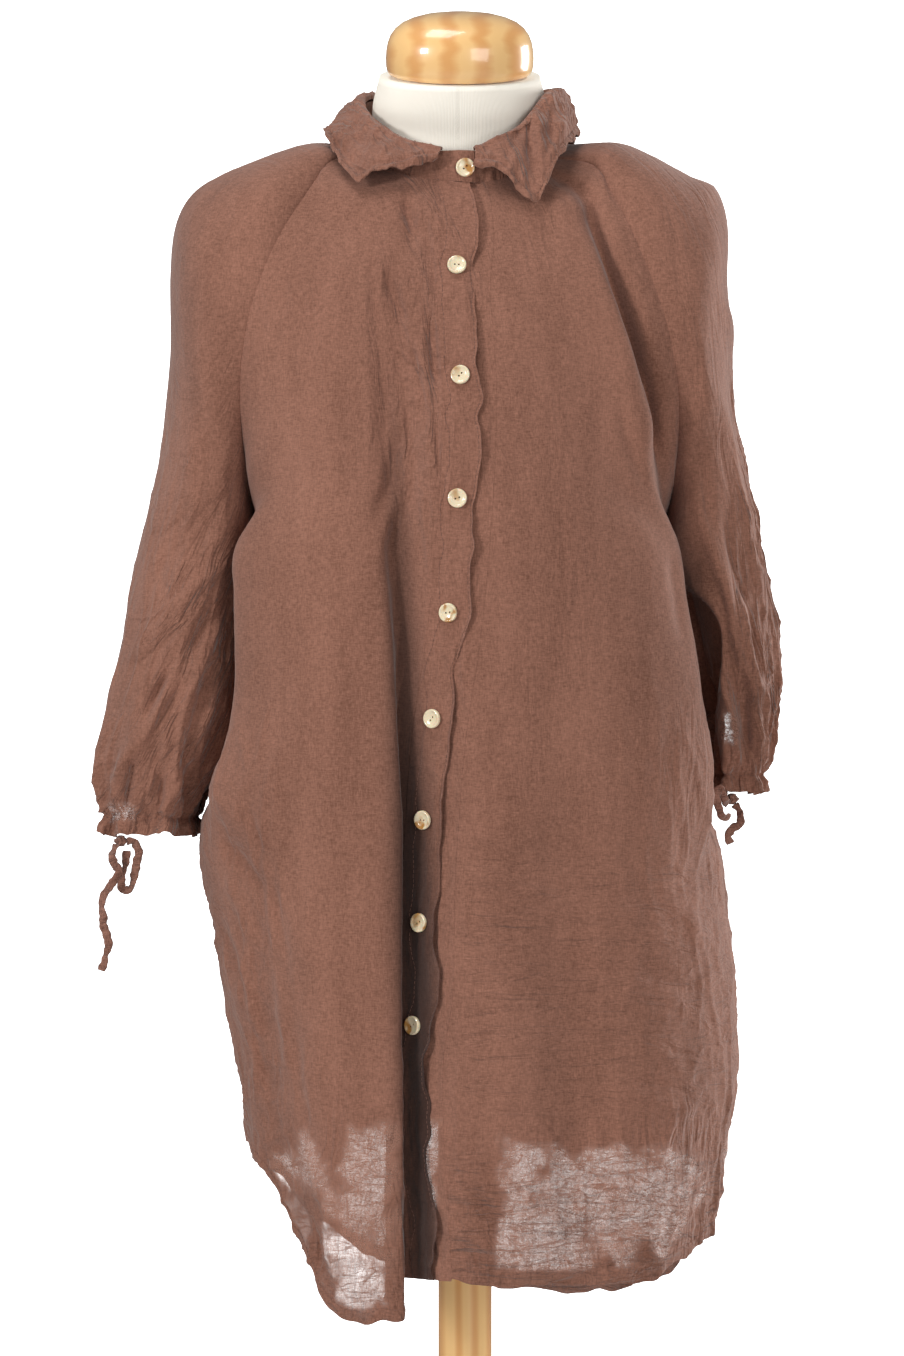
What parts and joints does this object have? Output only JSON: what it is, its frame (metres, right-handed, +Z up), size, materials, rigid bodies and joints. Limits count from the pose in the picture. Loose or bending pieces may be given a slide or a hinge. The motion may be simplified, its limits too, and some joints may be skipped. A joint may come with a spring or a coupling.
{
  "type": "button-up shirt on a limbless dress form",
  "caption": "Loose brown linen button-up shirt with raglan sleeves and tied cuffs, worn on a limbless off-white dress form with a wooden cap, pole and base.",
  "frame": {"origin": "on the floor, at the centre of the dress form's base under the pole's axis", "axes": "+Z up along the pole, -Y out of the shirt's buttoned front, -X towards the wearer's right"},
  "size_m": [0.5145, 0.38, 1.605],
  "materials": {
    "linen": "matte",
    "tie": "matte",
    "button": "glossy",
    "jersey": "matte",
    "wood": "varnished"
  },
  "bodies": {
    "root": {"shirt_front_right": "linen", "shirt_front_left": "linen", "shirt_back": "linen", "shirt_sleeve_right": "linen", "shirt_sleeve_left": "linen", "shirt_band_over": "linen", "shirt_band_under": "linen", "shirt_collar_stand": "linen", "shirt_collar_fall": "linen", "shirt_button_1": "button", "shirt_button_2": "button", "shirt_button_3": "button", "shirt_button_4": "button", "shirt_button_5": "button", "shirt_button_6": "button", "shirt_button_7": "button", "shirt_button_8": "button", "shirt_button_9": "button", "tie_right_loop": "tie", "tie_right_end": "tie", "tie_left_loop": "tie", "tie_left_end": "tie", "tie_right_knot": "tie", "tie_left_knot": "tie", "form_torso": "jersey", "form_cap": "wood", "form_pole": "wood", "form_base": "wood"}
  },
  "joints": []
}
